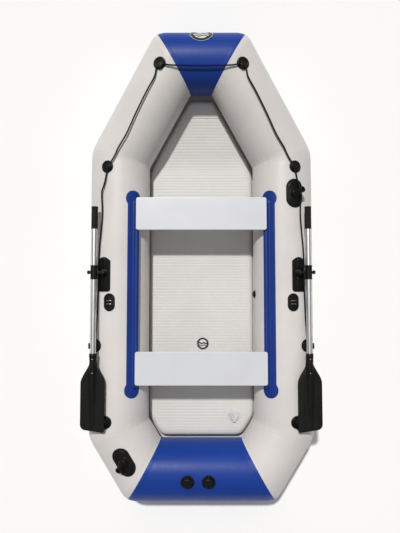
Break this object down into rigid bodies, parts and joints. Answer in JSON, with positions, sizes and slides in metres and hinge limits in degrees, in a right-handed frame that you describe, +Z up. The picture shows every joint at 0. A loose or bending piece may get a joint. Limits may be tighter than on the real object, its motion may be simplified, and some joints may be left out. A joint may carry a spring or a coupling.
{
  "type": "inflatable rowing boat",
  "caption": "Inflatable rowing boat: closed ring of air tubes, ribbed air deck, sliding bench seats, grab line, rod sockets and oars stowed along the sides.",
  "frame": {"origin": "on the ground under the middle of the boat", "axes": "+Y to the bow, +X to starboard, +Z up"},
  "size_m": [1.474, 3, 0.519],
  "materials": {
    "grey_pvc": "satin coated fabric",
    "blue_pvc": "satin coated fabric",
    "deck_pvc": "fine cross ribs, satin",
    "rail_pvc": "satin",
    "black_rubber": "moulded, satin",
    "rope": "braided",
    "badge_vinyl": "printed vinyl",
    "black_plastic": "fine grain",
    "grip_rubber": "foam rubber",
    "grey_plastic": "satin",
    "seat_plastic": "satin board",
    "oar_aluminium": "satin anodised",
    "hook_aluminium": "extruded",
    "steel": "brushed"
  },
  "bodies": {
    "hull": {"bow_tube": "blue_pvc", "stern_tube": "blue_pvc", "port_bow_tube": "grey_pvc", "starboard_bow_tube": "grey_pvc", "port_side_tube": "grey_pvc", "starboard_side_tube": "grey_pvc", "port_stern_tube": "grey_pvc", "starboard_stern_tube": "grey_pvc", "bow_baffle": "grey_pvc", "stern_baffle": "grey_pvc", "bottom_sheet": "grey_pvc", "air_deck": "deck_pvc", "port_seat_rail": "rail_pvc", "starboard_seat_rail": "rail_pvc", "rope_eyelets": "black_rubber", "port_oarlock_base": "black_rubber", "starboard_oarlock_base": "black_rubber", "port_strap_pad": "black_rubber", "starboard_strap_pad": "black_rubber", "side_rod_socket": "black_rubber", "stern_rod_socket": "black_rubber", "relief_valve": "black_rubber", "grab_line": "rope", "rope_knots": "rope", "bow_badge": "badge_vinyl", "deck_badge": "badge_vinyl", "port_valve_body": "black_plastic", "starboard_valve_body": "black_plastic", "deck_valve_body": "grey_plastic"},
    "front_seat": {"front_seat_board": "seat_plastic", "front_seat_hooks": "hook_aluminium", "front_seat_screws": "steel"},
    "rear_seat": {"rear_seat_board": "seat_plastic", "rear_seat_hooks": "hook_aluminium", "rear_seat_screws": "steel"},
    "port_head": {"port_oarlock_head": "black_plastic"},
    "port_collar": {"port_oar_collar": "black_plastic"},
    "port_knob": {"port_clamp_knob": "black_plastic"},
    "port_oar": {"port_oar_shaft": "oar_aluminium", "port_oar_grip": "grip_rubber", "port_oar_blade": "black_plastic"},
    "port_button": {"port_blade_button": "steel"},
    "starboard_head": {"starboard_oarlock_head": "black_plastic"},
    "starboard_collar": {"starboard_oar_collar": "black_plastic"},
    "starboard_knob": {"starboard_clamp_knob": "black_plastic"},
    "starboard_oar": {"starboard_oar_shaft": "oar_aluminium", "starboard_oar_grip": "grip_rubber", "starboard_oar_blade": "black_plastic"},
    "starboard_button": {"starboard_blade_button": "steel"},
    "port_cap": {"port_valve_cap": "black_plastic"},
    "port_stem": {"port_valve_stem": "black_plastic"},
    "starboard_cap": {"starboard_valve_cap": "black_plastic"},
    "starboard_stem": {"starboard_valve_stem": "black_plastic"},
    "deck_cap": {"deck_valve_cap": "grey_plastic"},
    "deck_stem": {"deck_valve_stem": "grey_plastic"}
  },
  "joints": [
    {"name": "front_seat_slide", "type": "slide", "parent": "hull", "child": "front_seat", "axis": [0, 1, 0], "range_m": [-0.35, 0]},
    {"name": "rear_seat_slide", "type": "slide", "parent": "hull", "child": "rear_seat", "axis": [0, 1, 0], "range_m": [-0.04, 0.35]},
    {"name": "port_oar_swing", "type": "hinge", "parent": "hull", "child": "port_head", "pos_m": [-0.61, -0.052, 0.412], "axis": [0, 0, 1], "range_deg": [-90, 0]},
    {"name": "port_oar_dip", "type": "hinge", "parent": "port_head", "child": "port_collar", "pos_m": [-0.663, -0.052, 0.412], "axis": [1, 0, 0], "range_deg": [0, 18]},
    {"name": "port_oar_feather", "type": "hinge", "parent": "port_collar", "child": "port_oar", "pos_m": [-0.663, -0.052, 0.412], "axis": [0, 1, 0], "range_deg": [-90, 0]},
    {"name": "port_clamp_turn", "type": "hinge", "parent": "port_collar", "child": "port_knob", "pos_m": [-0.693, -0.052, 0.412], "axis": [1, 0, 0], "continuous": true},
    {"name": "port_blade_release", "type": "slide", "parent": "port_oar", "child": "port_button", "axis": [0, 0, 1], "range_m": [-0.005, 0], "stiffness_N_per_m": 900, "springref_m": 0.004},
    {"name": "starboard_oar_swing", "type": "hinge", "parent": "hull", "child": "starboard_head", "pos_m": [0.61, -0.052, 0.412], "axis": [0, 0, 1], "range_deg": [0, 90]},
    {"name": "starboard_oar_dip", "type": "hinge", "parent": "starboard_head", "child": "starboard_collar", "pos_m": [0.663, -0.052, 0.412], "axis": [1, 0, 0], "range_deg": [0, 18]},
    {"name": "starboard_oar_feather", "type": "hinge", "parent": "starboard_collar", "child": "starboard_oar", "pos_m": [0.663, -0.052, 0.412], "axis": [0, 1, 0], "range_deg": [0, 90]},
    {"name": "starboard_clamp_turn", "type": "hinge", "parent": "starboard_collar", "child": "starboard_knob", "pos_m": [0.693, -0.052, 0.412], "axis": [1, 0, 0], "continuous": true},
    {"name": "starboard_blade_release", "type": "slide", "parent": "starboard_oar", "child": "starboard_button", "axis": [0, 0, 1], "range_m": [-0.005, 0], "stiffness_N_per_m": 900, "springref_m": 0.004},
    {"name": "port_cap_flip", "type": "hinge", "parent": "hull", "child": "port_cap", "pos_m": [-0.084, -1.29427, 0.40398], "axis": [-1, 0, 0], "range_deg": [0, 125]},
    {"name": "port_stem_press", "type": "slide", "parent": "hull", "child": "port_stem", "axis": [0, -0.1149, 0.9934], "range_m": [-0.008, 0], "stiffness_N_per_m": 600, "springref_m": 0.003},
    {"name": "starboard_cap_flip", "type": "hinge", "parent": "hull", "child": "starboard_cap", "pos_m": [0.045, -1.29427, 0.40398], "axis": [-1, 0, 0], "range_deg": [0, 125]},
    {"name": "starboard_stem_press", "type": "slide", "parent": "hull", "child": "starboard_stem", "axis": [0, -0.1149, 0.9934], "range_m": [-0.008, 0], "stiffness_N_per_m": 600, "springref_m": 0.003},
    {"name": "deck_cap_flip", "type": "hinge", "parent": "hull", "child": "deck_cap", "pos_m": [0.218, -1.027, 0.119], "axis": [1, 0, 0], "range_deg": [0, 125]},
    {"name": "deck_stem_press", "type": "slide", "parent": "hull", "child": "deck_stem", "axis": [0, 0, 1], "range_m": [-0.008, 0], "stiffness_N_per_m": 600, "springref_m": 0.003}
  ],
  "couplings": [
    {"joint": "port_oar_dip", "follows": "port_oar_swing", "ratio": -0.2},
    {"joint": "port_oar_feather", "follows": "port_oar_swing", "ratio": 1},
    {"joint": "starboard_oar_dip", "follows": "starboard_oar_swing", "ratio": 0.2},
    {"joint": "starboard_oar_feather", "follows": "starboard_oar_swing", "ratio": 1}
  ]
}
